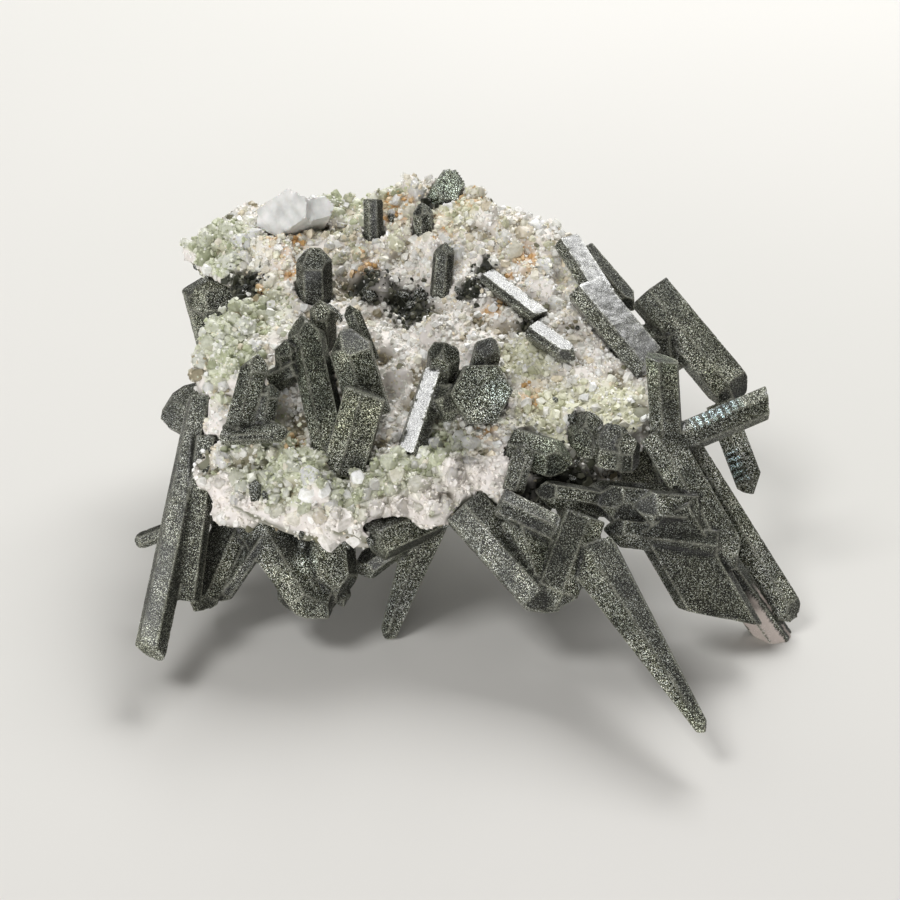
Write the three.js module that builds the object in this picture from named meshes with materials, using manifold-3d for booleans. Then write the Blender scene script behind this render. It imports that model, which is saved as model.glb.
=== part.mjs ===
// A cluster of dark, chlorite-filled quartz crystals grown through a pale feldspar crust.
// The crust lies tilted on top, and the cluster stands on the tips of the crystals below it.
// Units are millimetres, +Z is up, +X is right and +Y is away from the usual viewing side.
import * as THREE from "three";
import { ConvexGeometry } from "three/addons/geometries/ConvexGeometry.js";
import { mergeVertices } from "three/addons/utils/BufferGeometryUtils.js";
import Module from "manifold-3d";

const wasm = await Module();
wasm.setup();

// Crystal habit
const PYRAMID_TILT = THREE.MathUtils.degToRad(38.2); // quartz pyramid face from its prism face
const FACE_JITTER = 0.1; // how unequal the six prism faces are, as a share of the half width
const MINOR_FACE_LIFT = 0.22; // how far the three small pyramid faces stand off, in widths
const BLUNT_SLANT = 18; // steepness of most broken ends, in degrees
const SOCKET_GAP = 0.3; // room left around a crystal where it grows out of the crust

// Crust
const CRUST_CENTRE = [-6, 13];
const CRUST_HEIGHT = 37; // top of the crust above the floor, at y = 0
const CRUST_SLOPE = 0.32; // rise of the crust per millimetre away from the viewer
const CRUST_OUTLINE = [
  [41, 3], [36.5, -8.5], [24, -11.5], [13, -18.5], [-2, -23], [-13, -25], [-18, -27.5], [-27, -25.5],
  [-38, -22.5], [-48.5, -18.5], [-47, -6], [-49, 2], [-52, 12], [-51, 21], [-43, 27], [-41, 31],
  [-50, 35], [-57, 39], [-55, 46], [-44, 54], [-34, 57], [-26, 53], [-17, 57], [-3, 62],
  [10, 54], [22, 49], [30, 38], [40, 14],
];
// From the middle of the underside to the middle of the top: share of the outline, height
const CRUST_SECTION = [
  [0, -11], [0.35, -11.5], [0.68, -10], [0.92, -8.5], [1, -5.5], [0.98, -1.2], [0.88, 0.2],
  [0.66, 0.6], [0.4, 0], [0.18, 0], [0, 0],
];
const CRUST_SPOKES = 42;
const RIPPLE_HEIGHT = 0.8;
const RIPPLE_PITCH = 0.5; // radians of ripple for each millimetre
// Swells and hollows of the top
const MOUNDS = [
  { at: [-42, 12], rise: 6, radius: 13 },
  { at: [-30, -16], rise: 1.5, radius: 12 },
  { at: [-38, 47], rise: 2.5, radius: 12 },
  { at: [-38, 36.5], rise: 3, radius: 6 },
  { at: [2, 50], rise: 2, radius: 16 },
  { at: [-8, 27], rise: -6, radius: 7 },
  { at: [-10, 2], rise: -2, radius: 12 },
];

// Pale crystals fused to the crust, over its top and round its rim
const PALE_SEED = 7;
const PALE_COUNT = 32;
const PALE_WIDTH = [3, 6.5];
const PALE_HEIGHT = 0.75; // of its width
const PALE_LEAN = 0.7; // sideways lean for each unit of height
const PALE_ROOF = THREE.MathUtils.degToRad(40); // slope of its two end faces
const RIM_COUNT = 13;
const RIM_WIDTH = [3, 5];
const RIM_LEAN = 1.2;

// Every crystal runs from root to tip. Width is across the crystal, level with the floor, and flat is
// its thickness as a share of that. End is "point", "chisel" or "blunt", taper is the lean of each side
// in degrees, roll turns the section about the axis, turn and slant are the way and the steepness of a
// blunt end, and a foot is worn flat where it stands on the floor.
const CRYSTALS = {
  left_leg_crystals: [
    { root: [-49, 3, 37], tip: [-56.5, -42, 10], width: 5.2, end: "blunt" },
    { root: [-47.5, -6, 34], tip: [-50.3, -31.5, 14], width: 5, flat: 0.8, end: "blunt" },
    { root: [-46, 8, 33], tip: [-58.5, 8.5, 29], width: 11, flat: 0.8 },
  ],
  front_left_crystals: [
    { root: [-38.8, -10, 25], tip: [-23.6, -31, 9.2], width: 12.4, flat: 0.7, taper: 5 },
    { root: [-24, -17, 24], tip: [-22, -28.5, 10.5], width: 8.5, flat: 0.8 },
    { root: [-32, -19, 19], tip: [-31, -28, 8.5], width: 4 },
    { root: [-23, -20, 18], tip: [-20.7, -27.5, 9], width: 3.6 },
    { root: [-40, -13, 25], tip: [-50, -25.5, 6.5], width: 7.5, flat: 0.6 },
    { root: [-36, -20, 21], tip: [-45.3, -23.5, 7.5], width: 4.2, flat: 0.6 },
    { root: [-39, -15, 25.5], tip: [-62.5, -13.6, 14], width: 2.8 },
  ],
  centre_leg_crystals: [
    { root: [-0.8, -11, 29], tip: [-12.6, -26.2, -0.6], width: 6.8, taper: 5.2, foot: true },
    { root: [-4, -17, 23], tip: [-18.4, -20.5, 12], width: 6, flat: 0.7 },
    { root: [-3.5, -16, 22.5], tip: [-14.5, -25.5, 23.5], width: 7.4, end: "blunt" },
  ],
  front_wedge_crystals: [
    { root: [3, -19, 27], tip: [20.8, -34, 13.5], width: 9, flat: 0.8 },
    { root: [9.5, -23, 31], tip: [22.5, -25.5, 25], width: 5.5, flat: 0.7 },
    { root: [25.4, -25, 29.5], tip: [19, -34.5, 14.5], width: 8, flat: 0.8, end: "chisel" },
    { root: [14, -22, 27], tip: [18.5, -31, 14.5], width: 7.5 },
    { root: [5, -17.5, 24.5], tip: [21, -21.5, 23], width: 6.5 },
    { root: [27, -28.5, 22.5], tip: [46, -63, 9], width: 6, taper: 5.2 },
  ],
  right_ledge_crystals: [
    { root: [31, -17.5, 26.5], tip: [16.5, -17.5, 29.5], width: 6, flat: 0.8, roll: 24 },
    { root: [38, -18, 26], tip: [27.5, -19.5, 28.5], width: 7.5, roll: 34 },
    { root: [47, -20, 26.5], tip: [35, -22, 29], width: 6.5, roll: 22 },
    { root: [51, -24, 22], tip: [29.5, -23, 24.5], width: 6.5, flat: 0.8, roll: 30 },
    { root: [45, -15, 24.5], tip: [25, -14.5, 26], width: 6.5 },
    {
      root: [41, -22, 27], tip: [52.5, -31, 9.5], width: 12, flat: 0.4, roll: 41,
      end: "blunt", turn: 180, slant: 42,
    },
    { root: [42.6, -9, 30], tip: [40.6, -3.5, 51], width: 5.8, end: "blunt" },
    { root: [40.5, -7, 36], tip: [54.8, -27, 18], width: 8, flat: 0.7 },
    { root: [40, -8.6, 33], tip: [62, -2.4, 40], width: 5.8, end: "blunt" },
    { root: [46, -3.5, 31], tip: [67.7, -24.3, 3], width: 5.6, end: "chisel" },
    { root: [49, -21.5, 21], tip: [65, -25.2, -2], width: 5.8, end: "blunt", foot: true },
  ],
  right_back_crystals: [
    { root: [41, 29.7, 46], tip: [59.5, 14.5, 29], width: 9.5, flat: 0.8, end: "chisel" },
    { root: [55, 13, 29.5], tip: [61.7, 1, 15.5], width: 6, flat: 0.8 },
    { root: [36, 24, 35], tip: [51, 21.5, 38], width: 9.5 },
  ],
  right_bar_crystals: [
    { root: [24.5, 39, 52.5], tip: [33, 23, 45.5], width: 6.5, flat: 0.6, end: "blunt" },
    { root: [27.5, 26, 49], tip: [40, 11.5, 39.5], width: 8, flat: 0.75, end: "blunt" },
  ],
  back_needle_crystal: [{ root: [28, 44, 47.5], tip: [38.5, 34, 39], width: 5 }],
  back_lath_crystal: [{ root: [7.6, 32.5, 48], tip: [18.2, 21.4, 45], width: 4.2, flat: 0.8, end: "blunt" }],
  front_lath_crystal: [{ root: [16.5, 15.9, 45.5], tip: [25, 9.4, 42.5], width: 5, flat: 0.7 }],
  top_crystals: [
    { root: [-23, -9, 33], tip: [-29.2, 9.6, 52.5], width: 6.8 },
    { root: [-15.5, -3, 37], tip: [-20.5, 5, 52], width: 7.4, end: "chisel" },
    { root: [-20.5, -13, 31], tip: [-16, -7.5, 45.5], width: 8, end: "blunt", turn: 270, slant: 9 },
    { root: [-25, 12, 44], tip: [-25.6, 10.5, 55.5], width: 4.6 },
    { root: [-32, 4, 42], tip: [-32, 3, 51], width: 4 },
    { root: [-35, 2, 42], tip: [-28, 2, 46], width: 4.2 },
  ],
  top_needle_crystal: [{ root: [-15.5, 8, 43], tip: [-20, 13, 53], width: 3.4 }],
  left_top_crystals: [
    { root: [-41, -8, 38], tip: [-37, -2, 51], width: 5 },
    { root: [-44, -10, 37.5], tip: [-31, -11, 39], width: 5, flat: 0.5 },
    { root: [-36.5, -8, 37], tip: [-34.5, -4, 45.5], width: 4 },
  ],
  middle_crystals: [
    { root: [5.5, 4, 38], tip: [6, -8, 46], width: 11, end: "blunt", turn: 90 },
    { root: [-1, 0, 37], tip: [0, -4, 44], width: 5.5 },
    { root: [-2, 5, 40], tip: [-1, 3, 50.5], width: 5.5, roll: 20 },
    { root: [6, 7, 40], tip: [8, 7, 49], width: 5.5 },
    { root: [-8, -9.5, 32.5], tip: [-2, 5, 45], width: 5.2, flat: 0.9 },
  ],
  front_stub_crystal: [{ root: [12.5, -8, 33.5], tip: [23.5, -14, 33.5], width: 7.2, roll: 28 }],
  front_flake_crystal: [{ root: [12, -17.5, 30], tip: [14.5, -13.5, 38], width: 4.5, flat: 0.6 }],
  right_stub_crystals: [
    { root: [26.5, -6.5, 31], tip: [27, -4.5, 39.5], width: 6.6 },
    { root: [31.5, -8.5, 30], tip: [32, -7, 38], width: 6.6, end: "chisel" },
    { root: [34.2, -9.5, 30], tip: [34.3, -9, 37.5], width: 5 },
  ],
  back_stub_crystal: [{ root: [-28, 27, 42], tip: [-28, 31, 55.5], width: 6.5, end: "chisel" }],
  back_bar_crystal: [{ root: [-16, 44, 48], tip: [-16, 46.5, 58.5], width: 3.6, end: "blunt" }],
  back_spike_crystal: [{ root: [-2, 31, 44], tip: [-1, 35.5, 54.5], width: 3.8 }],
  back_tooth_crystal: [{ root: [-5, 44, 48], tip: [-6, 47, 57.5], width: 4.2 }],
  back_crest_crystal: [
    { root: [-4, 56, 50.5], tip: [0, 55, 57.6], width: 7.6, flat: 0.7, end: "blunt", turn: 180 },
  ],
  back_left_leg_crystals: [
    { root: [-49.5, 39, 43], tip: [-41.5, 33, -3], width: 12.5, flat: 0.8, taper: 1, foot: true },
    { root: [-38, 33, 43], tip: [-55, 33.5, 41], width: 8 },
  ],
  back_right_leg_crystal: [
    { root: [14, 43, 45], tip: [24, 50, -3], width: 9, taper: 1.2, foot: true },
  ],
  back_spray_crystals: [
    { root: [-3, 50, 47], tip: [4, 62, 22], width: 8 },
    { root: [-6, 50, 46], tip: [-13, 62, 36], width: 6 },
  ],
  back_left_spray_crystals: [
    { root: [-24, 46, 46], tip: [-27, 61, 27], width: 7.5 },
    { root: [-28, 46, 46], tip: [-40, 58, 30], width: 6 },
  ],
  back_right_spray_crystal: [{ root: [25, 37, 42], tip: [37, 48, 20], width: 7 }],
  under_left_crystal: [{ root: [-33, 12, 34], tip: [-42, 10, 13], width: 7 }],
  under_front_crystal: [{ root: [-15, 3, 31], tip: [-17, -3, 12], width: 8 }],
  under_middle_crystal: [{ root: [10, 0, 32], tip: [18.5, -6, 12], width: 9 }],
  under_right_crystal: [{ root: [24.5, 3, 30], tip: [27.5, -6, 10], width: 9.5 }],
  under_edge_crystal: [{ root: [35.2, 4, 34], tip: [41.8, -1, 12], width: 10 }],
  under_back_crystal: [{ root: [-10, 30, 39], tip: [-13, 33, 12], width: 8 }],
};

// The grey-white block that stands on the back of the crust
const PALE_BLOCK = [
  {
    root: [-33.2, 48.5, 51.2], tip: [-34.8, 43.5, 57], width: 12, flat: 0.68, roll: 40,
    end: "blunt", slant: 12,
  },
  { root: [-29.4, 48.4, 52], tip: [-27.4, 44.5, 57.5], width: 6.2, flat: 0.8, end: "blunt", slant: 6 },
];

const darkQuartz = new THREE.MeshStandardMaterial({ color: 0x3b4034, roughness: 0.55, metalness: 0 });
const paleFeldspar = new THREE.MeshStandardMaterial({ color: 0xcfcabb, roughness: 0.7, metalness: 0 });
const greyBlock = new THREE.MeshStandardMaterial({ color: 0xc4c3c0, roughness: 0.5, metalness: 0 });

// A repeatable stream of numbers from 0 to 1
function randomStream(seed) {
  let state = seed >>> 0;
  return () => {
    state = (state + 0x6d2b79f5) >>> 0;
    let mixed = Math.imul(state ^ (state >>> 15), state | 1);
    mixed ^= mixed + Math.imul(mixed ^ (mixed >>> 7), mixed | 61);
    return ((mixed ^ (mixed >>> 14)) >>> 0) / 4294967296;
  };
}

function solidOf(geometry) {
  const bare = new THREE.BufferGeometry().setAttribute("position", geometry.getAttribute("position"));
  bare.setIndex(geometry.index);
  const merged = mergeVertices(bare, 1e-4);
  const vertProperties = merged.attributes.position.array;
  const triVerts = new Uint32Array(merged.index.array);
  return new wasm.Manifold(new wasm.Mesh({ numProp: 3, vertProperties, triVerts }));
}

function geometryOf(solid) {
  const mesh = solid.getMesh();
  const geometry = new THREE.BufferGeometry();
  geometry.setAttribute("position", new THREE.BufferAttribute(mesh.vertProperties, mesh.numProp));
  geometry.setIndex(new THREE.BufferAttribute(mesh.triVerts, 1));
  geometry.computeVertexNormals();
  return geometry;
}

function joined(solids) {
  return solids.reduce((sum, solid) => sum.add(solid));
}

// The largest body of a solid, without the crumbs that a cut leaves
function largestBody(solid) {
  return solid.decompose().reduce((best, body) => (body.volume() > best.volume() ? body : best));
}

// The convex body inside all of the planes, each a normal and a point that it passes through
function bodyInside(planes) {
  const faces = planes.map(([normal, point]) => {
    return new THREE.Plane().setFromNormalAndCoplanarPoint(normal, point);
  });
  const corners = [];
  const inverse = new THREE.Matrix3();
  faces.forEach((a, i) => {
    faces.slice(0, i).forEach((b, j) => {
      faces.slice(0, j).forEach((c) => {
        const [n, m, k] = [a.normal, b.normal, c.normal];
        inverse.set(n.x, n.y, n.z, m.x, m.y, m.z, k.x, k.y, k.z);
        if (Math.abs(inverse.determinant()) < 1e-6) return;
        const corner = new THREE.Vector3(-a.constant, -b.constant, -c.constant);
        corner.applyMatrix3(inverse.invert());
        const inside = faces.every((face) => face.distanceToPoint(corner) < 1e-6);
        const isNew = corners.every((other) => other.distanceTo(corner) > 1e-3);
        if (inside && isNew) corners.push(corner);
      });
    });
  });
  return new ConvexGeometry(corners);
}

// One six-sided crystal. Its faces are unequal in a way that depends on seed, and grow moves them all out.
function crystalGeometry(spec, seed, grow = 0) {
  const { width, flat = 1, end = "point", taper = 0, roll = 0, slant = BLUNT_SLANT, foot = false } = spec;
  const random = randomStream(seed);
  const root = new THREE.Vector3(...spec.root);
  const tip = new THREE.Vector3(...spec.tip);
  const axis = tip.clone().sub(root).normalize();
  const middle = root.clone().lerp(tip, 0.5);
  const level = Math.abs(axis.z) > 0.99 ? new THREE.Vector3(1, 0, 0) : new THREE.Vector3(-axis.y, axis.x, 0);
  const across = level.normalize().applyAxisAngle(axis, THREE.MathUtils.degToRad(roll));
  const through = axis.clone().cross(across);
  const lean = THREE.MathUtils.degToRad(taper);
  const planes = [];
  const addPlane = (normal, point) => planes.push([normal, point.clone().addScaledVector(normal, grow)]);

  for (let side = 0; side < 6; side++) {
    const angle = ((side + 0.5) * Math.PI) / 3;
    const outward = across.clone().multiplyScalar(Math.cos(angle)).addScaledVector(through, Math.sin(angle));
    const reach = (width / 2) * Math.hypot(Math.cos(angle), flat * Math.sin(angle));
    const offset = reach * (1 + FACE_JITTER * (2 * random() - 1));
    const prism = outward.clone().multiplyScalar(Math.cos(lean)).addScaledVector(axis, Math.sin(lean));
    addPlane(prism, middle.clone().addScaledVector(outward, offset));

    const isMajor = end === "chisel" ? side % 3 === 1 : side % 2 === 0;
    const lift = (isMajor ? 0.05 * random() : MINOR_FACE_LIFT * (0.5 + random())) * width;
    const pyramid = outward.clone().multiplyScalar(Math.cos(PYRAMID_TILT));
    pyramid.addScaledVector(axis, Math.sin(PYRAMID_TILT));
    if (end !== "blunt") addPlane(pyramid, tip.clone().addScaledVector(axis, lift));
  }

  if (end === "blunt") {
    const turn = THREE.MathUtils.degToRad(spec.turn ?? 360 * random());
    const sideways = across.clone().multiplyScalar(Math.cos(turn)).addScaledVector(through, Math.sin(turn));
    const steep = THREE.MathUtils.degToRad(slant);
    const broken = axis.clone().multiplyScalar(Math.cos(steep)).addScaledVector(sideways, Math.sin(steep));
    addPlane(broken, tip);
  }
  addPlane(axis.clone().negate(), root);
  if (foot) planes.push([new THREE.Vector3(0, 0, -1), new THREE.Vector3(0, 0, 0)]);
  return bodyInside(planes);
}

// Height of the top of the crust, with its swells, hollows and ripples
function crustTop(x, y) {
  const swell = MOUNDS.reduce((sum, { at, rise, radius }) => {
    const away = Math.hypot(x - at[0], y - at[1]) / radius;
    return sum + rise * Math.exp(-away * away);
  }, 0);
  const ripple = RIPPLE_HEIGHT * Math.sin(RIPPLE_PITCH * x + Math.sin(y / 3)) * Math.cos(RIPPLE_PITCH * y);
  return CRUST_HEIGHT + CRUST_SLOPE * y + swell + ripple;
}

// Distance from the middle of the crust to its outline, for each of its spokes
function outlineReach() {
  const [cx, cy] = CRUST_CENTRE;
  const points = CRUST_OUTLINE.map(([x, y]) => new THREE.Vector3(x - cx, y - cy, 0));
  const samples = new THREE.CatmullRomCurve3(points, true).getPoints(CRUST_SPOKES * 20);
  return Array.from({ length: CRUST_SPOKES }, (_, spoke) => {
    const angle = (2 * Math.PI * spoke) / CRUST_SPOKES;
    const ray = new THREE.Vector3(Math.cos(angle), Math.sin(angle), 0);
    const nearest = samples.reduce((best, p) => (p.angleTo(ray) < best.angleTo(ray) ? p : best));
    return nearest.length();
  });
}

// A turned slab whose every spoke is stretched to the outline, then lifted to the top of the crust
function crustSlab(reach) {
  const profile = CRUST_SECTION.map(([share, height]) => new THREE.Vector2(share, height));
  const slab = new THREE.LatheGeometry(profile, CRUST_SPOKES).rotateX(Math.PI / 2);
  slab.deleteAttribute("normal");
  slab.deleteAttribute("uv");
  const closed = mergeVertices(slab, 1e-4);
  const place = closed.getAttribute("position");
  for (let i = 0; i < place.count; i++) {
    const share = Math.hypot(place.getX(i), place.getY(i));
    const angle = Math.atan2(place.getY(i), place.getX(i)) + 2 * Math.PI;
    const stretch = reach[Math.round((angle * CRUST_SPOKES) / (2 * Math.PI)) % CRUST_SPOKES];
    const x = CRUST_CENTRE[0] + share * stretch * Math.cos(angle);
    const y = CRUST_CENTRE[1] + share * stretch * Math.sin(angle);
    place.setXYZ(i, x, y, crustTop(x, y) + place.getZ(i));
  }
  return solidOf(closed);
}

// A short four-sided crystal with a ridged end, which leans the given way out of the crust at x, y
function paleCrystal(x, y, drop, width, lean, turn) {
  const at = new THREE.Vector3(x, y, crustTop(x, y) - drop);
  const axis = new THREE.Vector3(lean[0], lean[1], 1).normalize();
  const across = new THREE.Vector3(Math.cos(turn), Math.sin(turn), 0).cross(axis).normalize();
  const through = axis.clone().cross(across);
  const tip = at.clone().addScaledVector(axis, PALE_HEIGHT * width);
  const planes = [[axis.clone().negate(), at.clone().addScaledVector(axis, -0.5 * width)]];
  for (const [h, v] of [[1, 0.7], [1, -0.7], [-1, 0.7], [-1, -0.7]]) {
    const normal = across.clone().multiplyScalar(h).addScaledVector(through, v).normalize();
    planes.push([normal, at.clone().addScaledVector(normal, 0.4 * width)]);
  }
  for (const side of [1, -1]) {
    const normal = axis.clone().multiplyScalar(Math.cos(PALE_ROOF));
    planes.push([normal.addScaledVector(through, side * Math.sin(PALE_ROOF)), tip]);
  }
  return solidOf(bodyInside(planes));
}

function paleCrystals(reach, random) {
  const [cx, cy] = CRUST_CENTRE;
  const between = ([low, high]) => low + (high - low) * random() ** 2;
  const onTop = Array.from({ length: PALE_COUNT }, () => {
    const spoke = Math.floor(random() * CRUST_SPOKES);
    const angle = (2 * Math.PI * spoke) / CRUST_SPOKES;
    const out = 0.93 * reach[spoke] * Math.sqrt(random());
    const lean = [PALE_LEAN * (2 * random() - 1), PALE_LEAN * (2 * random() - 1)];
    const [x, y] = [cx + out * Math.cos(angle), cy + out * Math.sin(angle)];
    return paleCrystal(x, y, 0, between(PALE_WIDTH), lean, 2 * Math.PI * random());
  });
  const onRim = Array.from({ length: RIM_COUNT }, (_, i) => {
    const spoke = Math.floor((i * CRUST_SPOKES) / RIM_COUNT);
    const angle = (2 * Math.PI * spoke) / CRUST_SPOKES;
    const out = 0.95 * reach[spoke];
    const lean = [RIM_LEAN * Math.cos(angle), RIM_LEAN * Math.sin(angle)];
    const drop = 1.5 + 2.5 * random();
    const [x, y] = [cx + out * Math.cos(angle), cy + out * Math.sin(angle)];
    return paleCrystal(x, y, drop, between(RIM_WIDTH), lean, 2 * Math.PI * random());
  });
  return [...onTop, ...onRim];
}

function named(name, solid, material) {
  const mesh = new THREE.Mesh(geometryOf(solid), material);
  mesh.name = name;
  return mesh;
}

// Crystals that overlap are one body. Every crystal of the cluster also leaves its socket in the crust.
const cluster = new THREE.Group();
const sockets = [];
let seed = 1;
function addCrystals(name, specs, material) {
  const solids = specs.map((spec) => {
    seed += 1;
    sockets.push(solidOf(crystalGeometry(spec, seed, SOCKET_GAP)));
    return solidOf(crystalGeometry(spec, seed));
  });
  cluster.add(named(name, joined(solids), material));
}

for (const [name, specs] of Object.entries(CRYSTALS)) addCrystals(name, specs, darkQuartz);
addCrystals("pale_block", PALE_BLOCK, greyBlock);

const random = randomStream(PALE_SEED);
const reach = outlineReach();
const crust = joined([crustSlab(reach), ...paleCrystals(reach, random)]);
cluster.add(named("crust", largestBody(crust.subtract(joined(sockets))), paleFeldspar));

// The origin is on the floor, under the middle of the cluster's box
const box = new THREE.Box3().setFromObject(cluster);
const middle = box.getCenter(new THREE.Vector3());
cluster.position.set(-middle.x, -middle.y, -box.min.z);

export default cluster;
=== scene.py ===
"""A quartz cluster: dark speckled quartz needles in a crust of pale sugary grains, in a plain studio."""
import itertools
import math

import bmesh
import bpy
import numpy as np
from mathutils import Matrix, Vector, noise
from mathutils.bvhtree import BVHTree
from mathutils.kdtree import KDTree


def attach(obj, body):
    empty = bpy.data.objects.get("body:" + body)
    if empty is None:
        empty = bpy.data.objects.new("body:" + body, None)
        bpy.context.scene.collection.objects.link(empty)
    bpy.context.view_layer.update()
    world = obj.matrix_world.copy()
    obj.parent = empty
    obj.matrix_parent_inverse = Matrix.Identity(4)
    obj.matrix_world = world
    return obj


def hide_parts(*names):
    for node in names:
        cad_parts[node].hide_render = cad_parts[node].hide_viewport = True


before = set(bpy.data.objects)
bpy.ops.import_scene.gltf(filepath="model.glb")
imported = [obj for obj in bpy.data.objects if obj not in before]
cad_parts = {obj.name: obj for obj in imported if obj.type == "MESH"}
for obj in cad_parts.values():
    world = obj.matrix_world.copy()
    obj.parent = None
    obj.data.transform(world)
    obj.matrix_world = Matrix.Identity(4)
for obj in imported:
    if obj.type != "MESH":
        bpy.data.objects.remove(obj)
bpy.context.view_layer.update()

MM = 0.001
SEED = 20

# The camera of the photograph, in metres: an 85 mm lens at 35 degrees above the floor.
LENS_MM = 85
SENSOR_MM = 36
VIEW_TARGET = Vector((-3.28, -0.44, 27)) * MM
VIEW_DISTANCE = 425 * MM
VIEW_ELEVATION = math.radians(35)

# The studio: the lights with their place and size in metres and their power in watts, the fill and the floor.
LIGHTS = (
    ("key", (0.30, 0.66, 0.78), (0.65, 0.50), 9.6),
    ("back", (-0.10, 0.85, 0.42), (0.60, 0.36), 1.6),
    ("front", (-0.45, -1.10, 0.20), (1.4, 0.3), 9.0),
    ("overhead", (-0.47, -0.23, 0.93), (0.34, 0.34), 4.0),
)
SKY_COLOUR = (1.0, 0.96, 0.92, 1)
SKY_STRENGTH = 0.12
FLOOR_HALF = 2.0

# Cell sizes of the meshes that stand for the CAD nodes: coarser on crystals that the crust hides.
CRYSTAL_CELL = 0.42 * MM
HIDDEN_CELL = 0.56 * MM
HIDDEN_NODES = ("under_", "back_left_", "back_right_", "back_spray")
CRUST_CELL = 0.75 * MM
BLOCK_CELL = 0.45 * MM

# Crystal edges: an edge counts above this angle, and mesh points this near are drawn onto it.
EDGE_ANGLE = math.radians(22)
EDGE_STEP = 0.12 * MM
EDGE_SNAP = 0.24 * MM
# Painted highlight: a pale line along the outward edges, fading over this distance and broken up by waves of
# the next length.
EDGE_FADE = 0.36 * MM
EDGE_HIGHLIGHT_WAVE = 3 * MM
# Painted shade: the crystals darken towards their inward edges, where they meet, over this distance and down
# to the next share of their tone.
CREASE_SHADE_FADE = 1.6 * MM
CREASE_SHADE_TONE = 0.25
CORNER_MERGE = 0.002 * MM

# Faces that meet at less than these angles, in degrees, are shaded as one.
CRYSTAL_SMOOTH = 28
GRAIN_SMOOTH = 32
CRUST_SMOOTH = 50

# Relief of a crystal face, in wave length and height.
FACE_WAVE = 2.2 * MM
FACE_HEIGHT = 0.03 * MM
FACE_GRAIN_WAVE = 0.7 * MM
FACE_GRAIN_HEIGHT = 0.02 * MM

# Dark quartz: the size of one fleck, and how its tone changes from place to place and from face to face.
FLECK = 0.115 * MM
DRIFT_WAVE = 6 * MM
DRIFT = 0.35
FACE_TURN = 0.5
FACE_DRIFT = 0.6
BLUE_WAVE = 14 * MM
BLUE = 0.91
BLUE_DRIFT = 0.12
RAGGED_WAVE = 1.8 * MM

# Crystals with glassy faces, and how glassy. The others are etched and duller, some faces less than others:
# the shift makes these other faces than the light ones. The bright blade is part of a bigger node, so it is
# given by the ends of its axis and a radius, in mm.
GLOSSY_NODES = {
    "right_bar_crystals": 0.9,
    "back_lath_crystal": 0.6,
    "front_lath_crystal": 0.6,
    "front_flake_crystal": 0.6,
}
GLOSSY_AXES = (((-11.3, -9.9, 32.5), (-5.3, 4.6, 45), 3.4, 0.8),)
ETCHED_GLOSS = 0.08
FACE_GLOSS = 0.12
GLOSS_SHIFT = 3.7

# Stretches of crystal with growth steps across one face: the ends of each stretch, a radius in mm and the
# way the face looks.
STEPPED_AXES = (
    ((44, -6.8, 35.3), (54.5, -4, 38.7), 4.0, (-0.1, -0.35, 0.93)),
    ((55, 6.5, 22.5), (58, 1.4, 16.4), 4.0, (-0.3, -0.75, 0.6)),
)
STEP_PITCH = 1.5 * MM
STEP_HEIGHT = 0.05 * MM
# Painted highlight and shade of the steps: the crests are tinted lighter and bluish by this, the troughs
# darker.
STEP_HIGHLIGHT_TINT = (2.4, 2.9, 3.5)

# Lighter or tinted places of the crystals: x, y, z and radius in mm, and a tint. Two are painted light: the
# shade of a cavity and a glint beside it.
TINTED_SPOTS = (
    ((-29, 0, 44), 14, (0.44, 0.46, 0.44)),
    ((-38, -4, 44), 9, (0.7, 0.72, 0.7)),
    ((-59.8, -42.4, 10), 8, (1.35, 1.36, 1.3)),
    ((42.7, -63.4, 9), 9, (1.3, 1.31, 1.25)),
    ((37.3, -4, 51), 4, (1.6, 1.75, 1.65)),
    ((-21, -10.5, 40), 8, (1.45, 1.45, 1.3)),
    ((2.7, -8.4, 46), 7, (1.6, 1.65, 1.7)),
    ((0.5, -8.4, 47.5), 4, (0.55, 0.55, 0.55)),
    ((6.5, -8, 46.5), 3.5, (1.2, 1.28, 1.35)),
    ((33, -19, 28), 9, (1.4, 1.4, 1.4)),
    # Painted shade: a dark cavity in the front lump.
    ((-34, -24, 21), 6, (0.35, 0.35, 0.35)),
    # Painted highlight: a small white-bluish glint.
    ((-31, -25.5, 18.5), 3, (3.0, 3.1, 3.3)),
    ((17, -11, 34), 7, (1.3, 1.4, 1.25)),
    ((-5, 55, 57), 8, (2.1, 2.3, 2.3)),
)

# Milky stretches of crystal: the ends of each stretch and a radius in mm, and how milky.
MILKY_AXES = (
    ((53, -23.6, 10.5), (61.7, -25.6, -2), 3.1, 0.7),
)

# Relief of the crust under its grains.
LUMP_WAVE = 3.4 * MM
LUMP_HEIGHT = 0.55 * MM
SUGAR_WAVE = 1.3 * MM
SUGAR_HEIGHT = 0.32 * MM
HOLLOW_WAVE = 5.5 * MM
HOLLOW_DEPTH = 2.6 * MM
HOLLOW_FROM = 0.12
SWELL_WAVE = 6 * MM
SWELL_HEIGHT = 1.7 * MM

# Cleavage steps of the pale block: the way across them, how far apart they are, how high and how straight.
CLEAVAGE_ACROSS = np.array((0.75, 0.2, 0.63))
CLEAVAGE_PITCH = 2.3 * MM
CLEAVAGE_STEP = 0.16 * MM
CLEAVAGE_WOBBLE = 0.08
CLEAVAGE_WOBBLE_WAVE = 3.5 * MM
BLOCK_WAVE = 2.6 * MM
BLOCK_HEIGHT = 0.03 * MM

# The crust counts as top where it looks up more than this, and fully so after the fade.
TOP_FROM = 0.45
TOP_FADE = 0.3

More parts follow.
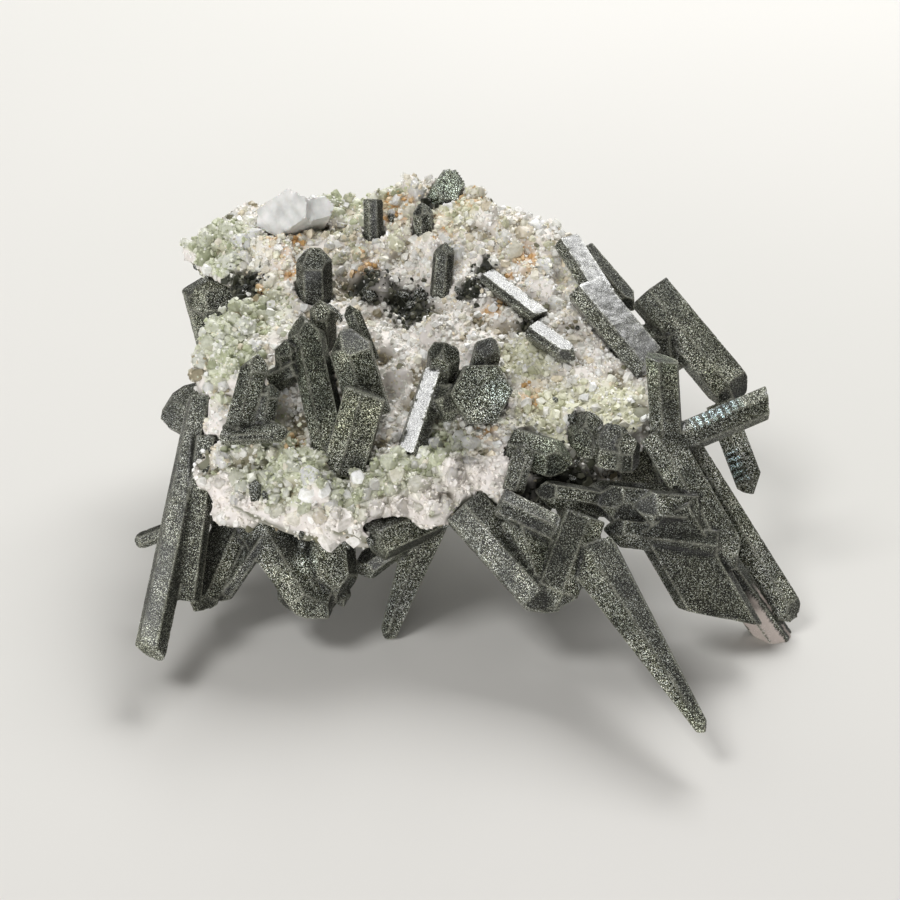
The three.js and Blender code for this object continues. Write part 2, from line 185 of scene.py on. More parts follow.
# Grains of the crust: sizes in mm, how far they stand out as a share of their size, and how near they come
# to each other as a share of their sizes.
BIG_GRAINS = {"size": (2.6, 5.6), "lift": (-0.15, 0.25), "spacing": 0.6}
BAND_LUMPS = {"size": (2.0, 4.4), "lift": (-0.38, -0.2), "spacing": 0.4}
MIDDLE_GRAINS = {"size": (1.2, 2.6), "lift": (-0.1, 0.2), "spacing": 0.55}
SMALL_GRAINS = {"size": (0.5, 1.4), "lift": (-0.1, 0.15), "spacing": 0.55}
DRUSE_GRAINS = {"size": (0.5, 1.4), "lift": (-0.2, 0.1), "spacing": 0.5}
GRAIN_ROOM = 0.3

# Small dark crystals of the crust: widths in mm, how near they come to each other and how much they lean.
SMALL_WIDTHS = (1.0, 2.6)
SMALL_SPACING = 0.4
SMALL_LEAN = 0.5

# The smooth lumps of the white band lie in front of this line.
BAND_BACK = -10 * MM

# Cells in which grains look for their neighbours: no grain is wider.
CLAIM_CELL = 5 * MM

# The way that tells inside from outside by counting faces, and the step past a face that is counted.
PROBE = Vector((0.013, 0.027, 1)).normalized()
PROBE_SKIP = 0.001 * MM

# Round patches of the crust seen from above: x, y and radius in mm.
GREEN_PATCHES = (
    (-36, -16, 16), (-24, -19, 13), (-50, 16, 12), (-47, 6, 9), (-52, 39, 12), (-22, 55, 11), (-8, -17, 12),
    (-5, -8, 7), (-44, 20, 11),
)
OLIVE_PATCHES = ((18, -3, 12), (29, -1, 10), (-2, 51, 8), (12, 12, 8))
LUMPY_PATCHES = ((-15, 48, 15), (5, 44, 13), (-30, 42, 12), (-40, 30, 9), (20, 32, 10))
STAIN_PATCHES = (
    (-43, 27, 3.5), (-36, 32, 4), (-22, -11, 3), (-33, -10, 3), (-15, 50, 6), (-7, 44, 5), (12, 37, 5),
    (5, 24, 3), (13, 3, 3.5), (3, -6, 3), (-21, 36, 4), (1, 52, 5), (-37, 39, 5), (9, 30, 4),
)
BAND_PATCHES = (
    (-47.5, -18.5, 4), (-42, -23, 4), (-35.5, -26.5, 4.5), (-30, -28, 4.5), (-24, -29, 5), (-16.5, -25, 5),
    (-12, -23, 5), (-7, -20.5, 5), (-2, -18, 5), (3, -16, 5), (8, -14, 4),
)
# Painted shade: pits and cavities of the crust that lie in shade, painted near-black and given more small
# dark crystals.
SHADED_PIT_PATCHES = (
    (-12, 28, 7), (-20, 31, 5), (1, 29, 4), (-8, 50, 3), (24, -16, 9), (33, -13, 8), (-46, 29, 6),
    (18, -15, 8), (12, -18.5, 4), (27, -20, 6), (35, -12, 8), (4, 33, 3.5), (13, 20, 3.5),
)


def tone(red, green, blue):
    """An sRGB colour of 0 to 255 as the linear values that shaders use."""
    srgb = np.array((red, green, blue)) / 255
    return np.where(srgb <= 0.04045, srgb / 12.92, ((srgb + 0.055) / 1.055) ** 2.4)


GREEN_TONES = (tone(230, 232, 214), tone(216, 219, 196), tone(242, 243, 232), tone(196, 201, 170))
OLIVE_TONES = (tone(237, 236, 217), tone(224, 223, 198), tone(245, 244, 232), tone(206, 206, 176))
WHITE_TONES = (tone(250, 248, 245), tone(252, 250, 248), tone(243, 241, 236))
CREAM_TONES = (tone(246, 239, 225), tone(238, 227, 206), tone(237, 233, 219))
STAIN_TONES = (tone(226, 194, 150), tone(208, 166, 112), tone(238, 218, 186))
# Painted shade: the near-black tones of the shaded pits.
PIT_SHADE_TONES = (tone(62, 64, 52), tone(38, 40, 30), tone(96, 96, 82))
# Olive-brown tones: painted shade, partly dirt, in the hollows, and the colour of grains on the underside.
HOLLOW_TONES = (tone(150, 140, 116), tone(176, 166, 142), tone(128, 126, 104))
BAND_TONE = tone(241, 235, 231)
UNDER_TONE = tone(138, 138, 120)


# Shader helpers

def new_shader(name, constants):
    """A material with one Principled shader whose constant sockets are set by name."""
    material = bpy.data.materials.new(name)
    material.use_nodes = True
    tree = material.node_tree
    shader = tree.nodes["Principled BSDF"]
    for socket, value in constants.items():
        shader.inputs[socket].default_value = value
    return material, tree, shader


def add(tree, kind, inputs=None, **settings):
    """Adds a node, sets its own settings, and sets or links its inputs by name or number."""
    node = tree.nodes.new("ShaderNode" + kind)
    for key, value in settings.items():
        setattr(node, key, value)
    for key, value in (inputs or {}).items():
        if isinstance(value, bpy.types.NodeSocket):
            tree.links.new(value, node.inputs[key])
        else:
            node.inputs[key].default_value = value
    return node


def ramp(tree, factor, stops):
    """A colour ramp through (position, colour) stops."""
    node = add(tree, "ValToRGB", {"Fac": factor})
    elements = node.color_ramp.elements
    elements[0].position = stops[0][0]
    elements[1].position = stops[-1][0]
    for position, _ in stops[1:-1]:
        elements.new(position)
    for element, (_, colour) in zip(elements, stops):
        element.color = (*colour, 1)
    return node.outputs["Color"]


def mix(tree, factor, first, second, mode="MIX"):
    """One colour over another."""
    inputs = {0: factor, 6: first, 7: second}
    return add(tree, "Mix", inputs, data_type="RGBA", blend_type=mode).outputs[2]


def scaled(tree, value, low, high):
    """A value from 0 to 1 brought to another range."""
    inputs = {"Value": value, "To Min": low, "To Max": high}
    return add(tree, "MapRange", inputs).outputs["Result"]


def attribute(tree, name, output):
    return add(tree, "Attribute", attribute_name=name).outputs[output]


# Materials

def dark_quartz():
    """Clear quartz packed with dark green flecks: a speckled body under a skin that is glassy or etched."""
    material, tree, shader = new_shader("dark_quartz", {
        "IOR": 1.54, "Specular IOR Level": 0.25, "Coat Roughness": 0.2, "Coat IOR": 1.9,
    })
    place = add(tree, "TexCoord").outputs["Object"]
    flecks = add(tree, "TexVoronoi", {"Vector": place, "Scale": 1 / FLECK})
    chance = add(tree, "SeparateColor", {"Color": flecks.outputs["Color"]})
    speckle = ramp(tree, chance.outputs["Red"], (
        (0.00, tone(2, 3, 2)), (0.42, tone(9, 10, 6)), (0.60, tone(37, 38, 26)),
        (0.76, tone(94, 94, 79)), (0.90, tone(166, 167, 163)), (1.00, tone(248, 250, 255)),
    ))
    cloud = add(tree, "TexNoise", {"Vector": place, "Scale": 170, "Detail": 4})
    shade = ramp(tree, cloud.outputs["Fac"], ((0.3, (0.4, 0.42, 0.4)), (0.7, (1.5, 1.52, 1.46))))
    body = mix(tree, 1.0, speckle, shade, "MULTIPLY")
    tinted = mix(tree, 1.0, body, attribute(tree, "tint", "Color"), "MULTIPLY")
    milky = mix(tree, attribute(tree, "milk", "Fac"), tinted, (*tone(222, 208, 200), 1))
    # Painted highlight: points near an outward edge are mixed towards a pale grey.
    edge = scaled(tree, attribute(tree, "edge", "Fac"), 0.0, 0.6)
    colour = mix(tree, edge, milky, (*tone(176, 176, 160), 1))
    rough = scaled(tree, chance.outputs["Green"], 0.4, 0.75)
    glassy = ramp(tree, chance.outputs["Blue"], ((0.10, (0.2, 0.2, 0.2)), (0.30, (1.0, 1.0, 1.0))))
    coat = mix(tree, 1.0, glassy, attribute(tree, "gloss", "Color"), "MULTIPLY")
    bump = add(tree, "Bump", {"Height": chance.outputs["Blue"], "Strength": 0.4, "Distance": 0.04 * MM})
    tree.links.new(colour, shader.inputs["Base Color"])
    tree.links.new(rough, shader.inputs["Roughness"])
    tree.links.new(coat, shader.inputs["Coat Weight"])
    tree.links.new(bump.outputs["Normal"], shader.inputs["Normal"])
    return material


def crust_stone():
    """Massive white and cream matrix under the grains."""
    material, tree, shader = new_shader("crust_stone", {
        "IOR": 1.53, "Specular IOR Level": 0.4,
    })
    place = add(tree, "TexCoord").outputs["Object"]
    cloud = add(tree, "TexNoise", {"Vector": place, "Scale": 420, "Detail": 5})
    shade = ramp(tree, cloud.outputs["Fac"], ((0.3, (0.93, 0.92, 0.90)), (0.6, (1.0, 1.0, 1.0))))
    colour = mix(tree, 1.0, attribute(tree, "tint", "Color"), shade, "MULTIPLY")
    sugar = add(tree, "TexVoronoi", {"Vector": place, "Scale": 1400})
    bump = add(tree, "Bump", {"Height": sugar.outputs["Distance"], "Strength": 0.45, "Distance": 0.2 * MM})
    rough = scaled(tree, cloud.outputs["Fac"], 0.4, 0.75)
    tree.links.new(colour, shader.inputs["Base Color"])
    tree.links.new(rough, shader.inputs["Roughness"])
    tree.links.new(bump.outputs["Normal"], shader.inputs["Normal"])
    return material


def pale_grain(name, transmission, milkiness):
    """A pale grain, see-through or milky, with veils inside and a frosted skin."""
    material, tree, shader = new_shader(name, {
        "IOR": 1.53, "Transmission Weight": transmission, "Specular IOR Level": 0.5,
        "Subsurface Weight": milkiness, "Subsurface Scale": 1.0 * MM, "Subsurface Radius": (1.0, 1.0, 0.8),
    })
    place = add(tree, "TexCoord").outputs["Object"]
    veil = add(tree, "TexNoise", {"Vector": place, "Scale": 1100, "Detail": 5})
    shade = ramp(tree, veil.outputs["Fac"], ((0.34, (0.82, 0.825, 0.77)), (0.60, (1.09, 1.09, 1.08))))
    colour = mix(tree, 1.0, attribute(tree, "tint", "Color"), shade, "MULTIPLY")
    rough = scaled(tree, veil.outputs["Fac"], 0.2, 0.5)
    bump = add(tree, "Bump", {"Height": veil.outputs["Fac"], "Strength": 0.3, "Distance": 0.1 * MM})
    tree.links.new(colour, shader.inputs["Base Color"])
    tree.links.new(rough, shader.inputs["Roughness"])
    tree.links.new(bump.outputs["Normal"], shader.inputs["Normal"])
    return material


def cleavage():
    """The pale block: satin lavender grey with faint parallel steps."""
    material, tree, shader = new_shader("cleavage", {
        "IOR": 1.53, "Coat Weight": 0.3, "Coat Roughness": 0.25, "Subsurface Weight": 0.06,
        "Subsurface Scale": 1.5 * MM,
    })
    place = add(tree, "TexCoord").outputs["Object"]
    steps = add(tree, "TexWave", {"Vector": place, "Scale": 190, "Distortion": 3.0, "Detail": 3})
    cloud = add(tree, "TexNoise", {"Vector": place, "Scale": 260, "Detail": 4})
    colour = ramp(tree, cloud.outputs["Fac"], (
        (0.30, tone(198, 199, 196)), (0.55, tone(226, 226, 223)), (0.75, tone(242, 240, 240)),
    ))
    rough = scaled(tree, steps.outputs["Fac"], 0.28, 0.5)
    bump = add(tree, "Bump", {"Height": steps.outputs["Fac"], "Strength": 0.25, "Distance": 0.08 * MM})
    tree.links.new(colour, shader.inputs["Base Color"])
    tree.links.new(rough, shader.inputs["Roughness"])
    tree.links.new(bump.outputs["Normal"], shader.inputs["Normal"])
    return material


def studio_floor():
    """A plain pale sheet."""
    material, tree, shader = new_shader("studio_floor", {"Roughness": 0.7, "Specular IOR Level": 0.2})
    place = add(tree, "TexCoord").outputs["Object"]
    cloud = add(tree, "TexNoise", {"Vector": place, "Scale": 3, "Detail": 2})
    colour = ramp(tree, cloud.outputs["Fac"], ((0.3, tone(214, 213, 208)), (0.7, tone(220, 218, 214))))
    tree.links.new(colour, shader.inputs["Base Color"])
    return material


# Mesh helpers

def show(name, mesh, material, slot, *nodes):
    """Shows a mesh as a piece of the object, in place of the CAD nodes named."""
    piece = bpy.data.objects.new(name, mesh)
    bpy.context.scene.collection.objects.link(piece)
    mesh.materials.clear()
    mesh.materials.append(material)
    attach(piece, "root")
    if nodes:
        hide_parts(*nodes)
    return piece


def remeshed(node, cell):
    """A copy of a CAD node's surface in even cells."""
    copy = bpy.data.objects.new("cells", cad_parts[node].data.copy())
    bpy.context.scene.collection.objects.link(copy)
    remesh = copy.modifiers.new("cells", "REMESH")
    remesh.mode = "VOXEL"
    remesh.voxel_size = cell
    depsgraph = bpy.context.evaluated_depsgraph_get()
    mesh = bpy.data.meshes.new_from_object(copy.evaluated_get(depsgraph))
    bpy.data.objects.remove(copy)
    return mesh


def points_of(mesh):
    points = np.empty(len(mesh.vertices) * 3)
    mesh.vertices.foreach_get("co", points)
    return points.reshape(-1, 3)


def normals_of(mesh):
    normals = np.empty(len(mesh.vertices) * 3)
    mesh.vertex_normals.foreach_get("vector", normals)
    return normals.reshape(-1, 3)


def set_points(mesh, points):
    mesh.vertices.foreach_set("co", points.ravel())
    mesh.update()


def set_tint(mesh, colours):
    """A colour for each point, which the materials read as tint."""
    layer = mesh.attributes.new("tint", "FLOAT_COLOR", "POINT")
    layer.data.foreach_set("color", np.column_stack((colours, np.ones(len(colours)))).ravel())


def set_value(mesh, name, values):
    """A number for each point, which the dark material reads by name."""
    layer = mesh.attributes.new(name, "FLOAT", "POINT")
    layer.data.foreach_set("value", values)


def waves(points, length):
    """Smooth noise from -1 to 1 at each point, with that wave length."""
    return np.array([noise.noise(Vector(point)) for point in points / length])


def mesh_of(name, points, triangles):
    """A mesh from arrays of points and triangles."""
    mesh = bpy.data.meshes.new(name)
    mesh.vertices.add(len(points))
    mesh.vertices.foreach_set("co", points.ravel())
    mesh.loops.add(triangles.size)
    mesh.loops.foreach_set("vertex_index", triangles.ravel())
    mesh.polygons.add(len(triangles))
    mesh.polygons.foreach_set("loop_start", np.arange(0, triangles.size, 3))
    mesh.update(calc_edges=True)
    return mesh


def smooth_by_angle(mesh, degrees):
    mesh.polygons.foreach_set("use_smooth", np.ones(len(mesh.polygons), dtype=bool))
    mesh.set_sharp_from_angle(angle=math.radians(degrees))


# Dark crystals

def edge_points(node, outward):
    """Points along the outward or the inward edges of a CAD node, a small step apart."""
    shape = bmesh.new()
    shape.from_mesh(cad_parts[node].data)
    bmesh.ops.remove_doubles(shape, verts=shape.verts, dist=CORNER_MERGE)
    found = []
    for edge in shape.edges:
        if len(edge.link_faces) != 2 or edge.is_convex != outward or edge.calc_face_angle() < EDGE_ANGLE:
            continue
        first, last = (corner.co.copy() for corner in edge.verts)
        count = max(2, math.ceil(edge.calc_length() / EDGE_STEP))
        found += [first.lerp(last, step / (count - 1)) for step in range(count)]
    shape.free()
    return found


def nearest_points(points, targets):
    """The nearest of the targets to each point, and its distance, which is large if there are none."""
    if not targets:
        return points, np.full(len(points), 1.0)
    tree = KDTree(len(targets))
    for index, target in enumerate(targets):
        tree.insert(target, index)
    tree.balance()
    found = [tree.find(point) for point in points]
    places = np.array([place for place, _, _ in found])
    distances = np.array([distance for _, _, distance in found])
    return places, distances


def along(points, start, end):
    """Where each point lies along a line given in mm, from 0 to 1, and its distance from the line."""
    first = np.array(start) * MM
    run = np.array(end) * MM - first
    part = (points - first) @ run / (run @ run)
    away = np.linalg.norm(points - first - np.clip(part, 0, 1)[:, None] * run, axis=1)
    return part, away


def by_face(normals):
    """A number from -1 to 1 for each way that a face may look."""
    return np.tanh(4 * waves(normals, FACE_TURN))


def crystal_gloss(node, points, normals):
    """How glassy each point is: by its node, its face and the bright blade."""
    gloss = np.full(len(points), GLOSSY_NODES.get(node, ETCHED_GLOSS))
    gloss += FACE_GLOSS * np.clip(by_face(normals + GLOSS_SHIFT), 0, 1)
    for start, end, radius, strength in GLOSSY_AXES:
        gloss[along(points, start, end)[1] < radius * MM] = strength
    return gloss


def crystal_tint(points, normals, creases):
    """Changes of tone from face to face and place to place, painted shade along the creases where crystals
    meet, and lighter and tinted spots, two of them painted light.
    """
    drift = (1 + DRIFT * waves(points, DRIFT_WAVE)) * (1 + FACE_DRIFT * by_face(normals))
    # Painted shade: darker towards the inward edges.
    drift *= CREASE_SHADE_TONE + (1 - CREASE_SHADE_TONE) * np.clip(creases / CREASE_SHADE_FADE, 0, 1)
    tint = np.column_stack((drift, drift, drift * (BLUE + BLUE_DRIFT * waves(points, BLUE_WAVE))))
    for centre, radius, colour in TINTED_SPOTS:
        tint *= 1 + (np.array(colour) - 1) * spot(points, centre, radius)[:, None]
    return tint


def spot(points, centre, radius):
    """How deep each point lies in a ragged spot given in mm, from 0 outside to 1 in its middle."""
    away = np.linalg.norm(points - np.array(centre) * MM, axis=1) / (radius * MM)
    depth = np.zeros(len(points))
    near = away < 1
    depth[near] = np.clip(1.6 * (1 - away[near]) * (1 + waves(points[near], RAGGED_WAVE)), 0, 1)
    return depth


def crystal_milk(points):
    """How milky each point is."""
    milk = np.zeros(len(points))
    for start, end, radius, strength in MILKY_AXES:
        part, away = along(points, start, end)
        inside = (away < radius * MM) & (part > 0)
        milk[inside] = strength * np.clip(4 * part[inside] * (1 + waves(points[inside], RAGGED_WAVE)), 0, 1)
    return milk


def growth_steps(points, normals, tint):
    """Height of the ladder of growth steps on the stepped stretches, which also colour the tint: a painted
    highlight on their crests and painted shade in their troughs.
    """
    height = np.zeros(len(points))
    for start, end, radius, facing in STEPPED_AXES:
        part, away = along(points, start, end)
        inside = (part > 0) & (part < 1) & (away < radius * MM) & (normals @ np.array(facing) > 0.8)
        length = math.dist(start, end) * MM
        ridge = np.sin(part[inside] * length / STEP_PITCH * 2 * math.pi)
        fade = np.clip(8 * np.minimum(part[inside], 1 - part[inside]), 0, 1)
        height[inside] = ridge * fade * STEP_HEIGHT
        # Painted highlight on the crests, painted shade in the troughs.
        tint[inside] *= 1 + (np.where(ridge[:, None] > 0, STEP_HIGHLIGHT_TINT, 0.4) - 1) * fade[:, None]
    return height


def dark_crystal(node, material):
    """A crystal group with crisp edges, faint growth relief on its faces and worn corners, a painted
    highlight along its outward edges and painted shade along its inward ones.
    """
    mesh = remeshed(node, HIDDEN_CELL if node.startswith(HIDDEN_NODES) else CRYSTAL_CELL)
    points = points_of(mesh)
    normals = normals_of(mesh)
    edges, distances = nearest_points(points, edge_points(node, True))
    creases = nearest_points(points, edge_points(node, False))[1]
    on_edge = distances < EDGE_SNAP
    points[on_edge] = edges[on_edge]
    tint = crystal_tint(points, normals, creases)
    relief = waves(points, FACE_WAVE) * FACE_HEIGHT + waves(points, FACE_GRAIN_WAVE) * FACE_GRAIN_HEIGHT
    relief += growth_steps(points, normals, tint)
    relief[on_edge] = -np.abs(relief[on_edge])
    set_value(mesh, "gloss", np.minimum(crystal_gloss(node, points, normals), 1))
    set_value(mesh, "milk", crystal_milk(points))
    # Painted highlight along the outward edges, broken up by waves.
    highlight_breaks = np.clip(0.7 + waves(points, EDGE_HIGHLIGHT_WAVE), 0.15, 1)
    set_value(mesh, "edge", np.clip(1 - distances / EDGE_FADE, 0, 1) * highlight_breaks)
    set_tint(mesh, tint)
    set_points(mesh, points + normals * relief[:, None])
    smooth_by_angle(mesh, CRYSTAL_SMOOTH)
    return show("dark_" + node, mesh, material, "dark_quartz", node)


# Crust

def share(points, patches):
    """How deep each point lies in round patches of the crust, from 0 outside to 1 in their middles."""
    depth = np.zeros(len(points))
    for x, y, radius in patches:
        away = np.hypot(points[:, 0] - x * MM, points[:, 1] - y * MM) / (radius * MM)
        depth = np.maximum(depth, np.clip(1.8 * (1 - away), 0, 1))
    return depth


def pick(rng, tones, count):
    """A tone for each of a number of grains, each a little lighter or darker."""
    chosen = np.array(tones)[rng.integers(len(tones), size=count)]
    return np.minimum(chosen * rng.uniform(0.88, 1.08, (count, 1)), 0.95)


def top_share(normals):
    """1 on the top of the crust, 0 on its steep rim and below."""
    return np.clip((normals[:, 2] - TOP_FROM) / TOP_FADE, 0, 1)


def under_share(normals):
    """1 on the underside of the crust, 0 on its rim and top."""
    return np.clip(-1.6 * normals[:, 2], 0, 1)


def hollows(points):
    """How deep each point of the crust's top lies in the hollows between its lumps, from 0 to 1."""
    return np.clip((waves(points, HOLLOW_WAVE) - HOLLOW_FROM) / (1 - HOLLOW_FROM), 0, 1)


def stain_share(points):
    """The rusty patches, broken up at random."""
    return share(points, STAIN_PATCHES) * np.clip(0.6 + 1.6 * waves(points, 2.4 * MM), 0, 1)


def crust_base(material):
    """The massive part of the crust: lumpy above, with painted shade in its hollows and pits, a smooth white
    band round its edge, dull below.
    """
    mesh = remeshed("crust", CRUST_CELL)
    points = points_of(mesh)
    normals = normals_of(mesh)
    up = top_share(normals)
    lumps = waves(points, LUMP_WAVE) * LUMP_HEIGHT
    sugar = np.abs(waves(points, SUGAR_WAVE)) * SUGAR_HEIGHT * (0.35 + 0.65 * up)
    sunk = up * hollows(points)
    swell = waves(points, SWELL_WAVE) * SWELL_HEIGHT * (1 - up)
    relief = lumps + sugar - SUGAR_HEIGHT / 2 - sunk * HOLLOW_DEPTH + swell
    set_points(mesh, points + normals * relief[:, None])
    colours = np.tile(BAND_TONE, (len(points), 1))
    for weight, colour in (
        (up * 0.25, CREAM_TONES[0]),
        (up * share(points, GREEN_PATCHES), GREEN_TONES[1]),
        (up * share(points, OLIVE_PATCHES), OLIVE_TONES[1]),
        (up * share(points, BAND_PATCHES), BAND_TONE),
        # Painted shade, partly dirt: the hollows between the lumps are tinted olive-brown.
        (np.clip(1.8 * sunk, 0, 0.8), HOLLOW_TONES[0]),
        (up * stain_share(points), STAIN_TONES[1]),
        # Painted shade: the shaded pits are painted near-black.
        (share(points, SHADED_PIT_PATCHES), PIT_SHADE_TONES[1]),
        (under_share(normals), UNDER_TONE),
    ):
        colours += (colour - colours) * weight[:, None]
    set_tint(mesh, colours)
    smooth_by_angle(mesh, CRUST_SMOOTH)
    return show("crust_base", mesh, material, "crust", "crust")


def grain_form(rng, corners, bevel):
    """Points and triangles of one convex, blocky grain about a unit across, its edges cut back."""
    shape = bmesh.new()
    number = np.arange(corners)
    height = 1 - (2 * number + 1) / corners
    radius = np.sqrt(1 - height**2)
    around = number * math.pi * (3 - math.sqrt(5))
    spread = np.column_stack((radius * np.cos(around), radius * np.sin(around), height))
    for corner in spread + rng.normal(scale=0.32, size=spread.shape):
        shape.verts.new(corner / np.linalg.norm(corner) * rng.uniform(0.43, 0.55))
    hull = bmesh.ops.convex_hull(shape, input=shape.verts)
    bmesh.ops.delete(shape, geom=hull["geom_interior"], context="VERTS")
    bmesh.ops.dissolve_limit(shape, angle_limit=math.radians(16), verts=shape.verts, edges=shape.edges)
    if bevel:
        bmesh.ops.bevel(shape, geom=shape.edges, offset=bevel, segments=1, affect="EDGES", clamp_overlap=True)
    return arrays_of(shape)


def arrays_of(shape):
    """Points and triangles of a closed bmesh, which is freed. Sorted, so that every run gives the same."""
    bmesh.ops.recalc_face_normals(shape, faces=shape.faces)
    bmesh.ops.triangulate(shape, faces=shape.faces)
    shape.verts.index_update()
    points = np.array([corner.co for corner in shape.verts])
    triangles = np.array([[corner.index for corner in face.verts] for face in shape.faces])
    triangles = np.array([np.roll(corners, -corners.argmin()) for corners in triangles])
    shape.free()
    return points, triangles[np.lexsort(triangles.T)]


def prism_form(rng):
    """Points and triangles of one six-sided crystal of unit width, two units long, with a pointed end."""
    shape = bmesh.new()
    for side in range(6):
        angle = math.radians(60 * side)
        radius = rng.uniform(0.42, 0.55)
        for height in (-0.6, rng.uniform(0.9, 1.2)):
            shape.verts.new((math.cos(angle) * radius, math.sin(angle) * radius, height))
    shape.verts.new((rng.uniform(-0.15, 0.15), rng.uniform(-0.15, 0.15), 1.6))
    bmesh.ops.convex_hull(shape, input=shape.verts)
    return arrays_of(shape)


def turns(rng, count):
    """Random rotation matrices."""
    q = rng.normal(size=(count, 4))
    w, x, y, z = (q / np.linalg.norm(q, axis=1, keepdims=True)).T
    rows = (
        (1 - 2 * (y * y + z * z), 2 * (x * y - z * w), 2 * (x * z + y * w)),
        (2 * (x * y + z * w), 1 - 2 * (x * x + z * z), 2 * (y * z - x * w)),
        (2 * (x * z - y * w), 2 * (y * z + x * w), 1 - 2 * (x * x + y * y)),
    )
    return np.array(rows).transpose(2, 0, 1)


def standing(rng, normals, lean):
    """Rotations that stand a form's Z along each normal, leaning by chance."""
    axis = normals + rng.normal(scale=lean, size=normals.shape)
    axis /= np.linalg.norm(axis, axis=1, keepdims=True)
    side = np.cross(axis, rng.normal(size=axis.shape))
    side /= np.linalg.norm(side, axis=1, keepdims=True)
    return np.stack((side, np.cross(axis, side), axis), axis=2)


def joined(name, forms, picks, places, rotations, sizes, colours):
    """One mesh of many grains: each is a form, turned, sized by axis, placed and given its colour."""
    all_points = []
    all_triangles = []
    all_colours = []
    first = 0
    for number, (points, triangles) in enumerate(forms):
        chosen = np.flatnonzero(picks == number)
        shaped = points[None] * sizes[chosen][:, None, :]
        placed = np.einsum("gij,gpj->gpi", rotations[chosen], shaped) + places[chosen][:, None]
        starts = first + np.arange(len(chosen)) * len(points)
        all_points.append(placed.reshape(-1, 3))
        all_triangles.append((triangles[None] + starts[:, None, None]).reshape(-1, 3))
        all_colours.append(np.repeat(colours[chosen], len(points), axis=0))
        first += len(chosen) * len(points)
    mesh = mesh_of(name, np.concatenate(all_points), np.concatenate(all_triangles))
    set_tint(mesh, np.concatenate(all_colours))
    return mesh


def triangles_of(mesh):
    """The corners of each triangle of a mesh."""
    mesh.calc_loop_triangles()
    corners = np.empty(len(mesh.loop_triangles) * 3, dtype=int)
    mesh.loop_triangles.foreach_get("vertices", corners)
    return points_of(mesh)[corners.reshape(-1, 3)]


def tree_of(meshes):
    """A search tree of the faces of some closed meshes."""
    points = []
    faces = []
    for mesh in meshes:
        first = len(points)
        points += [corner.co.copy() for corner in mesh.vertices]
        faces += [[first + index for index in face.vertices] for face in mesh.polygons]
    return BVHTree.FromPolygons(points, faces)


def outside(tree, place, room):
    """True if a place is outside the closed meshes of a tree, with that room to their faces."""
    point = Vector(place)
    if tree.find_nearest(point)[3] < room:
        return False
    crossings = 0
    hit = tree.ray_cast(point, PROBE)[0]
    while hit is not None:
        crossings += 1
        hit = tree.ray_cast(hit + PROBE * PROBE_SKIP, PROBE)[0]
    return crossings % 2 == 0


class Ground:
    """The crust's surface, to scatter grains on, clear of the dark crystals."""

    def __init__(self, base, nodes):
        self.base = tree_of([base.data])
        self.crystals = tree_of([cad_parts[node].data for node in nodes])
        self.taken = {}
        self.measure(triangles_of(base.data))
        self.up = top_share(self.normals)
        self.under = under_share(self.normals)
        self.grown = np.zeros(len(self.triangles))

    def measure(self, triangles):
        self.triangles = triangles
        first, second, third = triangles.transpose(1, 0, 2)
        across = np.cross(second - first, third - first)
        self.areas = np.linalg.norm(across, axis=1) / 2
        self.normals = across / (2 * self.areas[:, None] + 1e-12)
        self.middles = triangles.mean(axis=1)

    def grow(self, piece):
        """Takes the outer faces of a piece of grains as ground for smaller ones."""
        faces = triangles_of(piece.data)
        outer = [outside(self.base, middle, 0) for middle in faces.mean(axis=1)]
        added = faces[np.array(outer)]
        self.measure(np.concatenate((self.triangles, added)))
        self.up = np.concatenate((self.up, np.ones(len(added))))
        self.under = np.concatenate((self.under, np.zeros(len(added))))
        self.grown = np.concatenate((self.grown, np.ones(len(added))))

    def claim(self, place, size, spacing):
        """True, and the place is taken, if no grain already there is nearer than the spacing allows."""
        x, y, z = (int(math.floor(value / CLAIM_CELL)) for value in place)
        for cell in itertools.product((x - 1, x, x + 1), (y - 1, y, y + 1), (z - 1, z, z + 1)):
            for other, other_size in self.taken.get(cell, ()):
                if math.dist(place, other) < spacing * (size + other_size) / 2:
                    return False
        self.taken.setdefault((x, y, z), []).append((place, size))
        return True

    def scatter(self, rng, density, size, spacing):
        """Places, sizes and triangles of grains, so many to a square millimetre of each triangle."""
        wanted = self.areas / MM**2 * density
        counts = rng.poisson(wanted)
        owners = np.repeat(np.arange(len(counts)), counts)
        u, v = rng.random((2, len(owners)))
        flip = u + v > 1
        u[flip] = 1 - u[flip]
        v[flip] = 1 - v[flip]
        first, second, third = self.triangles[owners].transpose(1, 0, 2)
        places = first + u[:, None] * (second - first) + v[:, None] * (third - first)
        low, high = (width * MM for width in size)
        sizes = low + (high - low) * rng.random(len(owners)) ** 2
        free = [
            outside(self.crystals, place, GRAIN_ROOM * width) and self.claim(place, width, spacing)
            for place, width in zip(places, sizes)
        ]
        kept = np.array(free, dtype=bool)
        return places[kept], sizes[kept], owners[kept]


